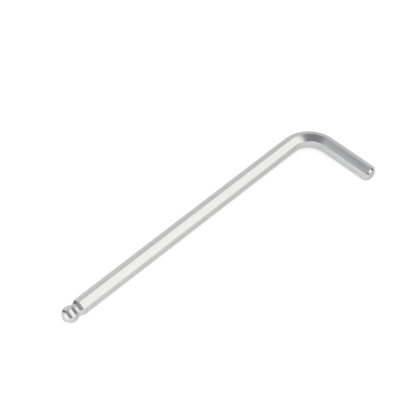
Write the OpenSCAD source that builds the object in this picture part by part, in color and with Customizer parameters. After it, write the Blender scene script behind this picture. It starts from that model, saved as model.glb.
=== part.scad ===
// Hex key, long pattern, one bent piece of hexagonal bar.
// The long arm ends in a hexagonal ball, the short arm in a flat face with a turned chamfer.
// It lies as it comes to rest: both arms on the lower edge of the bar, long arm along -X from
// the bend, short arm along -Y. The origin is the middle of the footprint, on the ground.

/* [Bar] */
// width across flats, the nominal size of the key
across_flats = 6; // [3:0.5:12]
// rounding of the six long edges of the drawn bar
edge_radius = 0.6; // [0.2:0.05:1]

/* [Arms] */
// overall length of the long arm, from the outside of the short arm to the tip of the ball
long_arm = 141; // [70:1:260]
// overall length of the short arm, from the outside of the long arm to the end face
short_arm = 38; // [26:0.5:90]
// radius of the bend, measured at the middle of the bar
bend_radius = 10.9; // [8:0.1:20]

/* [Ball end] */
// how far the ball faces lie below the flats of the bar at the widest place of the ball
ball_relief = 0.03; // [0.02:0.01:0.15]
// how far past the axis the arc of each ball face has its centre
ball_offset = 0.48; // [0.3:0.02:0.7]
// width across the six faces at the very tip
tip_flats = 1.4; // [0.8:0.1:2]
// how deep the neck is ground below the flats of the bar
neck_depth = 0.81; // [0.7:0.01:0.95]
// radius ground along the bottom of the neck
neck_radius = 3; // [2.5:0.1:3.5]
// distance from the widest place of the ball to where the shoulder reaches the flats of the bar
neck_length = 4.65; // [4.5:0.05:5]
// slope of the shoulder between the neck and the bar, in degrees
shoulder_slope = 30; // [27:1:34]

/* [Short end] */
// how far in from the flats of the bar the chamfer reaches on the end face
chamfer_inset = 0.7; // [0.3:0.05:1]
// angle of the turned chamfer against the end face, in degrees
chamfer_angle = 45; // [30:1:60]

/* [View] */
// which node to draw

/* [Hidden] */
$fn = 96;

// angle at which a rounding meets its neighbour, small enough to look smooth
blend = 4;
// how far the tools that grind and turn the ends reach past the bar
past = 1;
// how far the ball and the neck run into each other past their common crease
overlap = 0.3;

// half widths of the bar: across its flats and across its rounded edges
flat = across_flats / 2;
edge_mid = (flat - edge_radius * cos(blend)) / cos(30);
half_corners = edge_mid + edge_radius;
reach = half_corners + past;

// where the axes of the two arms would meet, and where the bend joins them
corner_x = long_arm / 2 - flat;
corner_y = short_arm / 2 - flat;
bend_x = corner_x - bend_radius;
bend_y = corner_y - bend_radius;

// tip of the ball and flat face of the short end
tip_x = -long_arm / 2;
face_y = -short_arm / 2;

// profile of the ball end, seen from the side: x from the widest place of the ball, y from the axis
ball_arc = flat - ball_relief + ball_offset;
ball_nose = sqrt(pow(ball_arc, 2) - pow(ball_offset + tip_flats / 2, 2));
ball_x = tip_x + ball_nose;

// the arc of the neck, and where its bottom turns into the slope of the shoulder
neck_mid_y = flat - neck_depth + neck_radius;
foot_y = neck_mid_y - neck_radius * cos(blend) * cos(shoulder_slope);
foot_x = neck_length - (flat - foot_y) / tan(shoulder_slope);
neck_mid_x = foot_x - neck_radius * cos(blend) * sin(shoulder_slope);

// the crease where the arc of the ball meets the arc of the neck
arc_gap = sqrt(pow(neck_mid_x, 2) + pow(neck_mid_y + ball_offset, 2));
gap_angle = atan2(neck_mid_y + ball_offset, neck_mid_x);
half_lens = acos((pow(arc_gap, 2) + pow(ball_arc, 2) - pow(neck_radius, 2)) / (2 * arc_gap * ball_arc));
crease_x = ball_arc * cos(gap_angle - half_lens);

// where the shoulder's slope has left the bar, and where the plain bar starts behind it
clear_x = foot_x + (reach - foot_y) / tan(shoulder_slope);
blank_x = ball_x + clear_x + past;

// end face of the short arm, and the stretch of bar that is turned there
face_radius = flat - chamfer_inset;
chamfer_length = (reach - face_radius) * tan(chamfer_angle);
end_length = chamfer_length + past;

// section of the bar with one edge up and one edge down, x across the flats of the bend
module bar_section() {
    rotate(90)
        difference() {
            circle(r = flat / cos(30), $fn = 6);
            for (k = [0:5])
                rotate(60 * k)
                    translate([edge_mid, 0])
                        edge_cutter();
        }
}

// what the rounding takes off one edge: a wedge from the arc's centre, less the arc itself
module edge_cutter() {
    half_wedge = flat * tan(30 - blend / 4);
    difference() {
        polygon([[0, 0], [flat, -half_wedge], [flat, half_wedge]]);
        circle(r = edge_radius);
    }
}

// what is ground off above one face of the ball: x along the arm from its widest place
// towards the bend, y outwards from the axis
module ball_cutter() {
    front_x = -ball_nose - past;
    difference() {
        translate([front_x, 0])
            square([crease_x + 2 * overlap - front_x, reach]);
        translate([0, -ball_offset])
            circle(r = ball_arc);
    }
}

// what is ground off above one face of the neck and its shoulder, placed as above
module neck_cutter() {
    translate([neck_mid_x, neck_mid_y])
        circle(r = neck_radius);
    polygon([
        [neck_mid_x, reach],
        [foot_x, foot_y],
        [clear_x, reach]
    ]);
}

// envelope that turns the chamfer on the short end, along Z with the end face at zero
module chamfer_envelope() {
    rotate_extrude()
        polygon([
            [0, 0],
            [face_radius, 0],
            [reach, chamfer_length],
            [reach, end_length + past],
            [0, end_length + past]
        ]);
}

// long arm between the bend and the ball end
module long_bar() {
    translate([blank_x, corner_y, half_corners])
        rotate([90, 0, 90])
            linear_extrude(height = bend_x - blank_x)
                bar_section();
}

// length of the bar at the tip, between two places measured from the widest place of the ball
module tip_blank(from_x, to_x) {
    translate([ball_x + from_x, corner_y, half_corners])
        rotate([90, 0, 90])
            linear_extrude(height = to_x - from_x)
                bar_section();
}

// grinds the six faces of the tip alike, each with the profile that is given
module ground_faces() {
    for (k = [0:5])
        translate([ball_x, corner_y, half_corners])
            rotate([60 * k, 0, 0])
                translate([0, 0, -reach])
                    linear_extrude(height = 2 * reach)
                        children();
}

// ball with its six faces, as far as it reaches into the neck
module ball() {
    difference() {
        tip_blank(-ball_nose, crease_x + overlap);
        ground_faces()
            ball_cutter();
    }
}

// neck and shoulder with their six faces, from inside the ball to the plain bar
module neck() {
    difference() {
        tip_blank(crease_x - overlap, clear_x + past);
        ground_faces()
            neck_cutter();
    }
}

// quarter turn between the two arms
module bend() {
    translate([bend_x, bend_y, half_corners])
        rotate_extrude(angle = 90)
            translate([bend_radius, 0])
                bar_section();
}

// short arm between the bend and its end
module short_bar() {
    translate([corner_x, bend_y, half_corners])
        rotate([90, 0, 0])
            linear_extrude(height = bend_y - face_y - end_length)
                bar_section();
}

// short end with its turned chamfer and flat face
module short_end() {
    intersection() {
        translate([corner_x, face_y + end_length, half_corners])
            rotate([90, 0, 0])
                linear_extrude(height = end_length + past)
                    bar_section();
        translate([corner_x, face_y, half_corners])
            rotate([-90, 0, 0])
                chamfer_envelope();
    }
}

// the whole key
module hex_key() {
    color([0.80, 0.81, 0.83])
        union() {
            long_bar();
            ball();
            neck();
            bend();
            short_bar();
            short_end();
        }
}

hex_key();
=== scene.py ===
"""Bright plated hex key with a ball end, lying on a pale floor under soft studio light."""

import math

import bpy
import numpy as np
from mathutils import Matrix, Vector


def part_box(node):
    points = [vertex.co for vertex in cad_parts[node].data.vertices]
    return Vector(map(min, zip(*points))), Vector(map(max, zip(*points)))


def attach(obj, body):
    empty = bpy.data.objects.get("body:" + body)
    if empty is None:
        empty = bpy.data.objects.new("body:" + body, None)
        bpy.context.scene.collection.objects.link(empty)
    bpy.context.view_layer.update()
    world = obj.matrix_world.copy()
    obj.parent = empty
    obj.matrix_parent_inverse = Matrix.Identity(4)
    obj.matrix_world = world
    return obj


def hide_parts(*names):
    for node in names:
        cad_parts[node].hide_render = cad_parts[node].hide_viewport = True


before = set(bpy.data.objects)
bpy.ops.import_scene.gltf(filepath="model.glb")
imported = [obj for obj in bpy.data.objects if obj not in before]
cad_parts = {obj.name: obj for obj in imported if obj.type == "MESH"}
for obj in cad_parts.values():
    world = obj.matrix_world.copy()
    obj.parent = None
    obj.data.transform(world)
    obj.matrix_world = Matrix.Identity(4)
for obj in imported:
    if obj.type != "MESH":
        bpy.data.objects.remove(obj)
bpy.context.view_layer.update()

MM = 0.001

# The bar and its ends, in millimetres, as in the solid that this finish is laid on.
ACROSS_FLATS = 6.0
EDGE_RADIUS = 0.6
BEND_RADIUS = 10.9
BALL_RELIEF = 0.03
BALL_OFFSET = 0.48
TIP_FLATS = 1.4
NECK_DEPTH = 0.81
NECK_RADIUS = 3.0
NECK_LENGTH = 4.65
SHOULDER_SLOPE = math.radians(30)
CHAMFER_INSET = 0.7
CHAMFER_ANGLE = math.radians(45)
BLEND_ANGLE = math.radians(4)

# Softness of edges, the higher the crisper: where the cuts leave the bar, and between the ground faces.
CRISP = 150.0
GROUND_CRISP = 40.0

# Drawn flats are never quite flat: each is domed to this radius.
DOME_RADIUS = 50.0

SIDES = 6
SECTOR = 2 * math.pi / SIDES
FLAT = ACROSS_FLATS / 2
EDGE_MID = (FLAT - EDGE_RADIUS * math.cos(BLEND_ANGLE)) / math.cos(SECTOR / 2)
HALF_CORNERS = EDGE_MID + EDGE_RADIUS
EDGE_REACH = math.atan2(EDGE_RADIUS * math.sin(SECTOR / 2),
                        EDGE_MID + EDGE_RADIUS * math.cos(SECTOR / 2))

# The axes of the two arms, and the way along them from the tip of the ball to the end face.
LOW, HIGH = (Vector(corner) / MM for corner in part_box("hex_key"))
AXIS_X = HIGH.x - FLAT
AXIS_Y = HIGH.y - FLAT
AXIS_Z = LOW.z + HALF_CORNERS
LONG_RUN = HIGH.x - LOW.x - FLAT - BEND_RADIUS
BEND_RUN = BEND_RADIUS * math.pi / 2
SHORT_RUN = HIGH.y - LOW.y - FLAT - BEND_RADIUS
FULL_RUN = LONG_RUN + BEND_RUN + SHORT_RUN

# Profile of the ball end, measured from the widest place of the ball towards the bend.
BALL_ARC = FLAT - BALL_RELIEF + BALL_OFFSET
BALL_NOSE = math.sqrt(BALL_ARC ** 2 - (BALL_OFFSET + TIP_FLATS / 2) ** 2)
NECK_MID_Y = FLAT - NECK_DEPTH + NECK_RADIUS
FOOT_Y = NECK_MID_Y - NECK_RADIUS * math.cos(BLEND_ANGLE) * math.cos(SHOULDER_SLOPE)
FOOT_X = NECK_LENGTH - (FLAT - FOOT_Y) / math.tan(SHOULDER_SLOPE)
NECK_MID_X = FOOT_X - NECK_RADIUS * math.cos(BLEND_ANGLE) * math.sin(SHOULDER_SLOPE)

# The crease between the arcs of the ball and the neck, from the triangle of their two centres.
GAP = math.hypot(NECK_MID_X, NECK_MID_Y + BALL_OFFSET)
TURN = math.atan2(NECK_MID_Y + BALL_OFFSET, NECK_MID_X)
OPEN = math.acos((GAP ** 2 + BALL_ARC ** 2 - NECK_RADIUS ** 2) / (2 * GAP * BALL_ARC))
CREASE_X = BALL_ARC * math.cos(TURN - OPEN)

# The round face of the short end, and the radius that breaks its rim.
FACE_RADIUS = FLAT - CHAMFER_INSET
RIM_RADIUS = 0.09

# Lengths drawn with close rings: the ball end, and the chamfer. At the ball's crease a ring stands
# on either side, and the others keep clear of it.
BALL_STRETCH = 10.0
BALL_PITCH = 0.09
CREASE_HALF = 0.02
CREASE_CLEAR = 0.05
CHAMFER_STRETCH = 1.6

# Rings of the two flat caps: shares of the tip's outline from its middle outwards, and radii on the
# end face from its rim inwards, close together where the rim is broken.
TIP_SHARES = np.array([0.3, 0.6, 0.82, 0.93])
RIM_TURNS = np.linspace(CHAMFER_ANGLE, 0, 5)[1:]
END_RADII = np.concatenate([
    FACE_RADIUS + RIM_RADIUS * (np.sin(RIM_TURNS) - math.tan(CHAMFER_ANGLE / 2)),
    FACE_RADIUS * np.array([0.93, 0.8, 0.6, 0.4, 0.2]),
])
TIP_WAY = np.array([-1.0, 0.0, 0.0])
END_WAY = np.array([0.0, -1.0, 0.0])

# Depth over which the marks of a cut fade into the drawn bar, and the step for reading a slope.
MARK_FADE = 0.05
PROBE = 1e-4


def from_flat(angle):
    """Angle from the normal of the nearest flat."""
    return np.abs((angle + SECTOR / 2) % SECTOR - SECTOR / 2)


def bar_radius(angle):
    """Distance from the axis to the drawn bar's surface, at an angle from a flat's normal."""
    off = from_flat(angle)
    plane = FLAT / np.cos(off) - (FLAT * np.tan(off)) ** 2 / (2 * DOME_RADIUS)
    from_edge = SECTOR / 2 - off
    sideways = EDGE_MID * np.sin(from_edge)
    arc = EDGE_MID * np.cos(from_edge) + np.sqrt(np.clip(EDGE_RADIUS ** 2 - sideways ** 2, 0, None))
    return np.where(from_edge < EDGE_REACH, np.minimum(plane, arc), plane)


def ground_height(along):
    """Half width across the ground faces of ball, neck and shoulder."""
    x = along - BALL_NOSE
    ball = np.sqrt(np.clip(BALL_ARC ** 2 - x ** 2, 0, None)) - BALL_OFFSET
    neck = NECK_MID_Y - np.sqrt(np.clip(NECK_RADIUS ** 2 - (x - NECK_MID_X) ** 2, 0, None))
    shoulder = FOOT_Y + (x - FOOT_X) * math.tan(SHOULDER_SLOPE)
    return np.where(x < CREASE_X, ball, np.where(x < FOOT_X, neck, shoulder))


def ground_radius(angle, along):
    """Distance from the axis to the six ground faces, with their edges just broken."""
    total = 0
    for side in range(SIDES):
        total = total + np.clip(np.cos(angle - side * SECTOR), 0, None) ** GROUND_CRISP
    return ground_height(along) * total ** (-1 / GROUND_CRISP)


def turned_radius(along):
    """Distance from the axis to the chamfer turned on the short end."""
    return FACE_RADIUS + np.clip(FULL_RUN - along, 0, None) / math.tan(CHAMFER_ANGLE)


def surface_radius(angle, along):
    """Soft minimum of the bar, the ground faces and the turned chamfer."""
    total = (bar_radius(angle) ** -CRISP + ground_radius(angle, along) ** -CRISP
             + turned_radius(along) ** -CRISP)
    return total ** (-1 / CRISP)


def surface_point(angle, along, radius):
    """Place on the key, in millimetres in the frame, at a radius about the bent axis."""
    turn = np.clip((along - LONG_RUN) / BEND_RADIUS, 0, math.pi / 2)
    centre_x = AXIS_X - BEND_RADIUS + BEND_RADIUS * np.sin(turn) + np.minimum(along - LONG_RUN, 0)
    centre_y = AXIS_Y - BEND_RADIUS + BEND_RADIUS * np.cos(turn)
    centre_y = centre_y - np.maximum(along - LONG_RUN - BEND_RUN, 0)
    outward = radius * np.cos(angle)
    return np.stack([
        centre_x + outward * np.sin(turn),
        centre_y + outward * np.cos(turn),
        AXIS_Z + radius * np.sin(angle) + 0 * along,
    ], axis=-1)


def unit(vectors):
    """The same directions with a length of one."""
    return vectors / np.linalg.norm(vectors, axis=-1, keepdims=True)


def surface_normal(angle, along):
    """Outward unit vector, from the surface's slopes over a small step."""
    def here(a, s):
        return surface_point(a, s, surface_radius(a, s))

    round_bar = here(angle + PROBE, along) - here(angle - PROBE, along)
    down_bar = here(angle, along + PROBE) - here(angle, np.maximum(along - PROBE, 0))
    return unit(np.cross(round_bar, down_bar))


def section_angles():
    """Angles round the bar: close together over the six rounded edges, wide apart on the flats."""
    edge = np.linspace(0, EDGE_REACH, 9)
    flat = EDGE_REACH + (SECTOR / 2 - EDGE_REACH) * np.array([0.04, 0.12, 0.3, 0.6, 1.0])
    half = np.concatenate([edge, flat])
    sector = np.concatenate([-half[1:-1][::-1], half])
    edges = -math.pi / 2 + SECTOR * np.arange(SIDES)
    return (edges[:, None] + sector[None, :]).ravel()


def ring_places():
    """Distances from the tip at which the section is drawn, close together at the ends."""
    crease = BALL_NOSE + CREASE_X
    ball = np.arange(0, BALL_STRETCH, BALL_PITCH)
    ball = ball[np.abs(ball - crease) > CREASE_CLEAR]
    ball = np.sort(np.concatenate([ball, [crease - CREASE_HALF, crease + CREASE_HALF]]))
    long_arm = np.linspace(BALL_STRETCH, LONG_RUN, 60, endpoint=False)
    bend = np.linspace(LONG_RUN, LONG_RUN + BEND_RUN, 64, endpoint=False)
    short_arm = np.linspace(LONG_RUN + BEND_RUN, FULL_RUN - CHAMFER_STRETCH, 14, endpoint=False)
    chamfer = np.linspace(FULL_RUN - CHAMFER_STRETCH, FULL_RUN - RIM_RADIUS / 2, 20)
    return np.concatenate([ball, long_arm, bend, short_arm, chamfer])


def cap_rings(angles, along, radii):
    """Rings on the flat face that closes the bar at one distance from the tip."""
    places = np.full((len(radii), 1), along)
    return surface_point(angles[None, :], places, radii)


def skin_faces(rows, columns):
    """Quads between neighbouring rings, and a fan round the middle of each cap."""
    faces = []
    for row in range(rows - 1):
        for column in range(columns):
            after = (column + 1) % columns
            faces.append((row * columns + column, row * columns + after,
                          (row + 1) * columns + after, (row + 1) * columns + column))
    tip_middle = rows * columns
    end_middle = tip_middle + 1
    last = tip_middle - columns
    for column in range(columns):
        after = (column + 1) % columns
        faces.append((tip_middle, after, column))
        faces.append((end_middle, last + column, last + after))
    return faces


def add_attribute(mesh, name, values):
    """Stores one number for each vertex, for the material to read."""
    layer = mesh.attributes.new(name, "FLOAT", "POINT")
    layer.data.foreach_set("value", values.astype(np.float32))


def with_caps(values, tip, end):
    """One number for each vertex, from the rings' values and one value for each cap."""
    columns = values.shape[1]
    return np.concatenate([
        np.full(len(TIP_SHARES) * columns, tip),
        values.ravel(),
        np.full(len(END_RADII) * columns, end),
        [tip, end],
    ])


def add_marks(mesh, angles, places):
    """Tells the material where each vertex lies along and round the bar, and how it was worked."""
    along, angle = np.meshgrid(places, angles, indexing="ij")
    rows_along = np.concatenate([TIP_SHARES - 1, places, FULL_RUN + FACE_RADIUS - END_RADII])
    middles_along = [-1, FULL_RUN + FACE_RADIUS]
    around = (angles - angles[0]) * FLAT
    bar = bar_radius(angle)
    ground = np.clip((bar - ground_radius(angle, along)) / MARK_FADE + 1, 0, 1)
    turned = np.clip((bar - turned_radius(along)) / MARK_FADE + 1, 0, 1)
    edge = np.clip(1 - (SECTOR / 2 - from_flat(angle)) / EDGE_REACH, 0, 1)
    add_attribute(mesh, "along", np.concatenate([np.repeat(rows_along, len(angles)), middles_along]))
    add_attribute(mesh, "around", np.concatenate([np.tile(around, len(rows_along)), [0, 0]]))
    add_attribute(mesh, "ground", with_caps(ground, 1.0, 0.0))
    add_attribute(mesh, "turned", with_caps(turned, 0.0, 1.0))
    add_attribute(mesh, "edge", with_caps(edge * (1 - np.maximum(ground, turned)), 0.0, 0.0))


def key_mesh():
    """The key's skin: rings of the section from the tip to the end face, closed by two caps."""
    angles = section_angles()
    places = ring_places()
    along, angle = np.meshgrid(places, angles, indexing="ij")
    radius = surface_radius(angle, along)
    normals = surface_normal(angle, along)

    # The tip is a small face whose rim is left soft, the short end a flat face with a crisp rim.
    tip = cap_rings(angles, 0.0, radius[0] * TIP_SHARES[:, None])
    end = cap_rings(angles, FULL_RUN, END_RADII[:, None])
    tip_normals = np.zeros_like(tip) + TIP_WAY
    tip_normals[-1] += normals[0] / 2
    end_normals = np.zeros_like(end) + END_WAY

    rings = np.concatenate([tip, surface_point(angle, along, radius), end])
    directions = np.concatenate([tip_normals, normals, end_normals])
    middles = [surface_point(0.0, 0.0, 0.0), surface_point(0.0, FULL_RUN, 0.0)]
    vertices = np.concatenate([rings.reshape(-1, 3), middles]) * MM
    directions = unit(np.concatenate([directions.reshape(-1, 3), [TIP_WAY, END_WAY]]))

    mesh = bpy.data.meshes.new("plated_bar")
    mesh.from_pydata(vertices.tolist(), [], skin_faces(*rings.shape[:2]))
    mesh.validate()
    mesh.shade_smooth()
    mesh.normals_split_custom_set_from_vertices(directions.tolist())
    add_marks(mesh, angles, places)
    return mesh


class Nodes:
    """Short hand for building a node tree."""

    # The span that most values of a noise lie in, and a narrower one for more contrast.
    FULL = (0.3, 0.7)
    NARROW = (0.35, 0.65)

    def __init__(self, tree):
        self.tree = tree
        tree.nodes.clear()

    def add(self, kind, inputs=None, **settings):
        """A new node, with its settings and with values or links for its inputs."""
        node = self.tree.nodes.new(kind)
        for name, value in settings.items():
            setattr(node, name, value)
        for name, value in (inputs or {}).items():
            self.put(node.inputs[name], value)
        return node

    def put(self, socket, value):
        """Links a socket to another one, or sets its value."""
        if isinstance(value, bpy.types.NodeSocket):
            self.tree.links.new(value, socket)
        else:
            socket.default_value = value

    def math(self, operation, first, second=0.0):
        """The result of one sum with two values."""
        node = self.add("ShaderNodeMath", operation=operation)
        self.put(node.inputs[0], first)
        self.put(node.inputs[1], second)
        return node.outputs[0]

    def times(self, *values):
        """The values multiplied."""
        result = values[0]
        for value in values[1:]:
            result = self.math("MULTIPLY", result, value)
        return result

    def total(self, *values):
        """The values added up."""
        result = values[0]
        for value in values[1:]:
            result = self.math("ADD", result, value)
        return result

    def scale(self, value, low, high, to_low=0.0, to_high=1.0):
        """Maps the span from low to high onto another, and keeps within that one."""
        node = self.add("ShaderNodeMapRange", {
            "Value": value, "From Min": low, "From Max": high, "To Min": to_low, "To Max": to_high})
        return node.outputs["Result"]

    def smooth(self, value, low, high):
        """0 at low, 1 at high, with a soft start and end."""
        node = self.add("ShaderNodeMapRange", {"Value": value, "From Min": low, "From Max": high},
                        interpolation_type="SMOOTHSTEP")
        return node.outputs["Result"]

    def mix(self, share, first, second):
        """A colour between two, each given as red, green and blue or as a socket."""
        node = self.add("ShaderNodeMix", {"Factor": share}, data_type="RGBA")
        for name, colour in (("A", first), ("B", second)):
            if not isinstance(colour, bpy.types.NodeSocket):
                colour = (*colour, 1.0)
            self.put(node.inputs[name], colour)
        return node.outputs["Result"]

    def noise(self, vector, size, detail=3.0, roughness=0.55):
        """Noise whose largest shapes have about this size, in the units of the vector."""
        node = self.add("ShaderNodeTexNoise", {
            "Vector": vector, "Scale": 1 / size, "Detail": detail, "Roughness": roughness})
        return node.outputs[0]

    def attribute(self, name):
        """A number that the mesh stores for each vertex."""
        return self.add("ShaderNodeAttribute", attribute_name=name).outputs["Fac"]

    def vector(self, x, y, z=0.0):
        """A vector from its three parts."""
        node = self.add("ShaderNodeCombineXYZ")
        for socket, value in zip(node.inputs, (x, y, z)):
            self.put(socket, value)
        return node.outputs[0]

    def finish(self, kind, surface):
        """Ends the tree in its output node."""
        self.add(kind, {"Surface": surface})


def new_material(name):
    """An empty material, and the builder of its nodes."""
    material = bpy.data.materials.new(name)
    material.use_nodes = True
    return material, Nodes(material.node_tree)


def plated_steel():
    """Bright plating, with draw lines along the bar and the marks of grinding and turning at its ends."""
    material, build = new_material("plated_steel")
    along = build.attribute("along")
    around = build.attribute("around")
    edge = build.attribute("edge")
    cut = build.math("MAXIMUM", build.attribute("ground"), build.attribute("turned"))
    place = build.add("ShaderNodeTexCoord").outputs["Object"]

    # The mesh's own coordinates are in millimetres: squeezed one way, they draw a noise out into lines.
    drawn = build.vector(build.times(along, 0.012), around)
    machined = build.vector(along, build.times(around, 0.03))
    draw_lines = build.noise(drawn, 0.16, detail=4.0, roughness=0.7)
    draw_bands = build.noise(drawn, 0.9, detail=3.0, roughness=0.65)
    cut_lines = build.noise(machined, 0.09, roughness=0.6)
    swell = build.noise(build.vector(along, around), 7.0, detail=1.0)
    haze = build.noise(place, 6.0 * MM, detail=4.0)
    speckle = build.noise(place, 0.35 * MM, detail=2.0)
    uncut = build.math("SUBTRACT", 1.0, cut)
    lines = build.total(build.times(draw_lines, uncut), build.times(cut_lines, cut))

    # The plating wears brighter in patches along the edges, and has hairline scratches in places,
    # where a slow noise passes through its middle value.
    patches = build.scale(build.noise(place, 1.4 * MM), 0.45, 0.7)
    wear = build.times(edge, patches)
    drift = build.math("ABSOLUTE", build.math("SUBTRACT", build.noise(place, 2.6 * MM, detail=2.0), 0.5))
    used = build.scale(build.noise(place, 5.0 * MM, detail=1.0), 0.5, 0.62)
    scratches = build.times(build.scale(drift, 0.0, 0.006, 1.0, 0.0), used)

    rough = build.total(
        build.scale(haze, *Nodes.FULL, 0.11, 0.2),
        build.scale(draw_bands, *Nodes.FULL, -0.03, 0.04),
        build.scale(speckle, *Nodes.NARROW, -0.015, 0.015),
        build.times(cut, -0.02),
        build.times(wear, 0.05),
        build.times(scratches, 0.08),
    )

    broad = build.total(build.scale(draw_bands, *Nodes.NARROW), build.scale(haze, *Nodes.FULL))
    fine = build.scale(speckle, *Nodes.NARROW)
    shade = build.total(build.times(broad, 0.32), build.times(fine, 0.36))
    tint = build.mix(shade, (0.497, 0.499, 0.5), (0.617, 0.615, 0.607))
    tint = build.mix(build.times(wear, 0.6), tint, (0.64, 0.638, 0.632))

    # Heights in thousandths of a millimetre.
    height = build.total(build.times(lines, 0.16), build.times(swell, 5.0), build.times(scratches, -0.5))
    bump = build.add("ShaderNodeBump", {"Height": height, "Distance": 0.001 * MM, "Strength": 1.0})

    shader = build.add("ShaderNodeBsdfPrincipled", {
        "Base Color": tint,
        "Metallic": 1.0,
        "Specular Tint": (0.56, 0.56, 0.56, 1.0),
        "Roughness": rough,
        "Normal": bump.outputs["Normal"],
    })
    build.finish("ShaderNodeOutputMaterial", shader.outputs["BSDF"])
    return material


def make_key():
    """The finished key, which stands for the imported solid."""
    key = bpy.data.objects.new("plated_hex_key", key_mesh())
    bpy.context.scene.collection.objects.link(key)
    key.data.materials.append(plated_steel())
    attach(key, "root")
    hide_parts("hex_key")


def pale_floor():
    """Matt off-white, with a grain that is hardly seen."""
    material, build = new_material("pale_floor")
    grain = build.noise(build.add("ShaderNodeTexCoord").outputs["Object"], 4 * MM)
    shader = build.add("ShaderNodeBsdfPrincipled", {
        "Base Color": build.mix(grain, (0.9, 0.9, 0.9), (0.92, 0.92, 0.92)),
        "Roughness": 0.9,
        "Specular IOR Level": 0.1,
    })
    build.finish("ShaderNodeOutputMaterial", shader.outputs["BSDF"])
    return material


def make_floor():
    """A wide pale floor."""
    half = 6.0
    corners = [(-half, -half, 0), (half, -half, 0), (half, half, 0), (-half, half, 0)]
    mesh = bpy.data.meshes.new("floor")
    mesh.from_pydata(corners, [], [(0, 1, 2, 3)])
    mesh.materials.append(pale_floor())
    floor = bpy.data.objects.new("floor", mesh)
    bpy.context.scene.collection.objects.link(floor)


def direction(zenith, azimuth):
    """Unit vector, from the angle off straight up and the angle from +X, in degrees."""
    zenith, azimuth = math.radians(zenith), math.radians(azimuth)
    flat = math.sin(zenith)
    return Vector((flat * math.cos(azimuth), flat * math.sin(azimuth), math.cos(zenith)))


# Brightness of the sky from the horizon, at height 0, to straight up, at height 1. It turns slightly
# blue on the way.
SKY = ((0.0, 1.05), (0.2, 0.97), (0.5, 0.6), (0.9, 0.38), (1.0, 0.36))
SKY_BLUE = 0.05

# What the plating mirrors: lights and cards, laid over the sky in this order. Each lies in a direction
# given by its zenith and azimuth in degrees. Its spans, and half the widths of the soft borders at
# their two ends, are tangents about that direction, sideways and upwards.
PANELS = (
    # Pale sweep behind the key, mirrored along the upper edges of both arms.
    {"zenith": 50, "azimuth": 38, "colour": (0.85, 0.85, 0.85),
     "across": (-0.65, 0.65), "across_soft": (0.15, 0.15),
     "upright": (-0.6, 0.5), "upright_soft": (0.1, 0.15)},
    # Dark card beyond the bend, mirrored as the dark band before the ball's crease.
    {"zenith": 67, "azimuth": -15, "colour": (0.2, 0.2, 0.2),
     "across": (-0.15, 0.14), "across_soft": (0.08, 0.07),
     "upright": (-0.18, 0.2), "upright_soft": (0.06, 0.08)},
    # Low light beyond the bend, mirrored in the ball beside its crease.
    {"zenith": 87, "azimuth": -3, "colour": (1.6, 1.6, 1.6),
     "across": (-0.16, 0.16), "across_soft": (0.06, 0.06),
     "upright": (-0.14, 0.13), "upright_soft": (0.04, 0.05)},
    # Dark card behind the long arm, mirrored as the dark spots on top of ball and shoulder.
    {"zenith": 86, "azimuth": 102, "colour": (0.2, 0.2, 0.2),
     "across": (-0.17, 0.13), "across_soft": (0.04, 0.05),
     "upright": (-0.1, 0.2), "upright_soft": (0.05, 0.05)},
    # Dark card behind the bend, mirrored along the upper edge of the bend and the short arm.
    {"zenith": 84, "azimuth": 24, "colour": (0.12, 0.12, 0.12),
     "across": (-0.26, 0.26), "across_soft": (0.06, 0.06),
     "upright": (-0.16, 0.2), "upright_soft": (0.06, 0.06)},
    # Light high over the ball end, mirrored along the lower edge of the short arm.
    {"zenith": 54, "azimuth": 142, "colour": (1.25, 1.25, 1.25),
     "across": (-0.6, 0.5), "across_soft": (0.15, 0.15),
     "upright": (-0.35, 0.42), "upright_soft": (0.1, 0.14)},
    # Bluish card nearly overhead, mirrored in the upper flat of the short arm.
    {"zenith": 33, "azimuth": 134, "colour": (0.55, 0.595, 0.645),
     "across": (-0.32, 0.5), "across_soft": (0.18, 0.15),
     "upright": (-0.03, 0.13), "upright_soft": (0.14, 0.14)},
    # Low light beyond the ball end, mirrored in the ball's nose.
    {"zenith": 72, "azimuth": -172, "colour": (1.6, 1.6, 1.6),
     "across": (-0.95, 0.58), "across_soft": (0.1, 0.1),
     "upright": (-0.3, 0.34), "upright_soft": (0.1, 0.1)},
    # Main light, mirrored in the upper flat of the long arm.
    {"zenith": 37, "azimuth": -68, "colour": (1.57, 1.57, 1.56),
     "across": (-0.58, 0.5), "across_soft": (0.1, 0.06),
     "upright": (-0.8, 0.2), "upright_soft": (0.1, 0.12)},
    # Two dark cards, mirrored in the chamfer: on its right and at its lower corner.
    {"zenith": 76, "azimuth": -42, "colour": (0.14, 0.14, 0.14),
     "across": (-0.22, 0.22), "across_soft": (0.05, 0.06),
     "upright": (-0.22, 0.22), "upright_soft": (0.06, 0.06)},
    {"zenith": 84, "azimuth": -117, "colour": (0.06, 0.06, 0.06),
     "across": (-0.24, 0.2), "across_soft": (0.05, 0.05),
     "upright": (-0.12, 0.12), "upright_soft": (0.05, 0.05)},
    # The dim place where the camera stands, mirrored in the ball and the neck.
    {"zenith": 40, "azimuth": -138, "colour": (0.38, 0.38, 0.38),
     "across": (-0.12, 0.12), "across_soft": (0.06, 0.06),
     "upright": (-0.12, 0.12), "upright_soft": (0.06, 0.06)},
)


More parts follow.
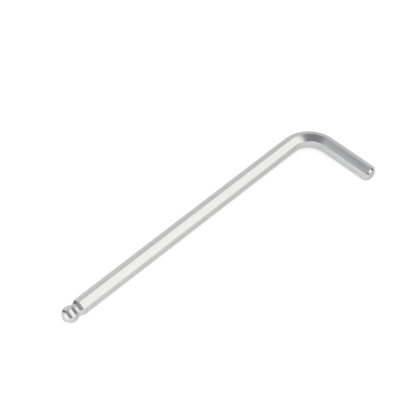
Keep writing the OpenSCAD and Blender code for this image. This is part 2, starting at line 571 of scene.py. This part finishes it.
def panel(build, sky, zenith, azimuth, colour, across, across_soft, upright, upright_soft):
    """Lays one soft-edged rectangle of light over the sky."""
    facing = direction(zenith, azimuth)
    sideways = Vector((-facing.y, facing.x, 0)).normalized()
    upwards = facing.cross(sideways)
    place = build.add("ShaderNodeTexCoord").outputs["Generated"]

    def part(axis):
        node = build.add("ShaderNodeVectorMath", {0: place, 1: tuple(axis)}, operation="DOT_PRODUCT")
        return node.outputs["Value"]

    # The mask fades out before the far half of the sky, where the tangents mean nothing.
    depth = build.math("MAXIMUM", part(facing), 0.001)
    mask = build.scale(part(facing), 0.02, 0.12)
    spans = ((sideways, across, across_soft), (upwards, upright, upright_soft))
    for axis, (low, high), (low_soft, high_soft) in spans:
        offset = build.math("DIVIDE", part(axis), depth)
        mask = build.times(mask, build.smooth(offset, low - low_soft, low + low_soft))
        mask = build.times(mask, build.smooth(offset, high + high_soft, high - high_soft))
    return build.mix(mask, sky, colour)


def make_world():
    """A studio: pale round the horizon, dim overhead, with the panels laid over it."""
    world = bpy.data.worlds.new("studio")
    world.use_nodes = True
    bpy.context.scene.world = world
    build = Nodes(world.node_tree)
    place = build.add("ShaderNodeTexCoord").outputs["Generated"]
    height = build.add("ShaderNodeSeparateXYZ", {"Vector": place}).outputs["Z"]
    ramp = build.add("ShaderNodeValToRGB", {"Fac": height})
    ramp.color_ramp.interpolation = "EASE"
    elements = ramp.color_ramp.elements
    while len(elements) < len(SKY):
        elements.new(0.5)
    for element, (position, level) in zip(elements, SKY):
        element.position = position
        element.color = (level, level, level * (1 + SKY_BLUE * position), 1.0)
    sky = ramp.outputs["Color"]
    for settings in PANELS:
        sky = panel(build, sky, **settings)
    back = build.add("ShaderNodeBackground", {"Color": sky, "Strength": 1.0})
    build.finish("ShaderNodeOutputWorld", back.outputs["Background"])


def make_light():
    """One broad light overhead, which whitens the floor and isn't mirrored in the plating."""
    distance = 1.2
    side = 0.5
    radiance = 12.6
    towards = direction(38, -137)
    light = bpy.data.lights.new("floor_light", "AREA")
    light.shape = "RECTANGLE"
    light.size = side
    light.size_y = side
    light.energy = radiance * math.pi * side * side
    lamp = bpy.data.objects.new("floor_light", light)
    lamp.location = towards * distance
    lamp.rotation_euler = towards.to_track_quat("Z", "Y").to_euler()
    lamp.visible_glossy = False
    bpy.context.scene.collection.objects.link(lamp)


def make_camera():
    """The photograph's view: looking down on the key from the side of both arms' inner faces."""
    place = Vector((-230.24, -207.14, 387.84)) * MM
    aim = Vector((6.76, 16.055, 3.437)) * MM
    roll = math.radians(1.455)
    focal_pixels = 1251.2
    frame_pixels = 416
    camera_data = bpy.data.cameras.new("camera")
    camera_data.sensor_width = 36.0
    camera_data.lens = focal_pixels * camera_data.sensor_width / frame_pixels
    camera_data.clip_start = 0.01
    camera = bpy.data.objects.new("camera", camera_data)
    look = (aim - place).to_track_quat("-Z", "Y").to_matrix().to_4x4()
    camera.matrix_world = Matrix.Translation(place) @ look @ Matrix.Rotation(roll, 4, "Z")
    bpy.context.scene.collection.objects.link(camera)
    bpy.context.scene.camera = camera


make_key()
make_floor()
make_world()
make_light()
make_camera()
bpy.context.scene.view_settings.view_transform = "Standard"
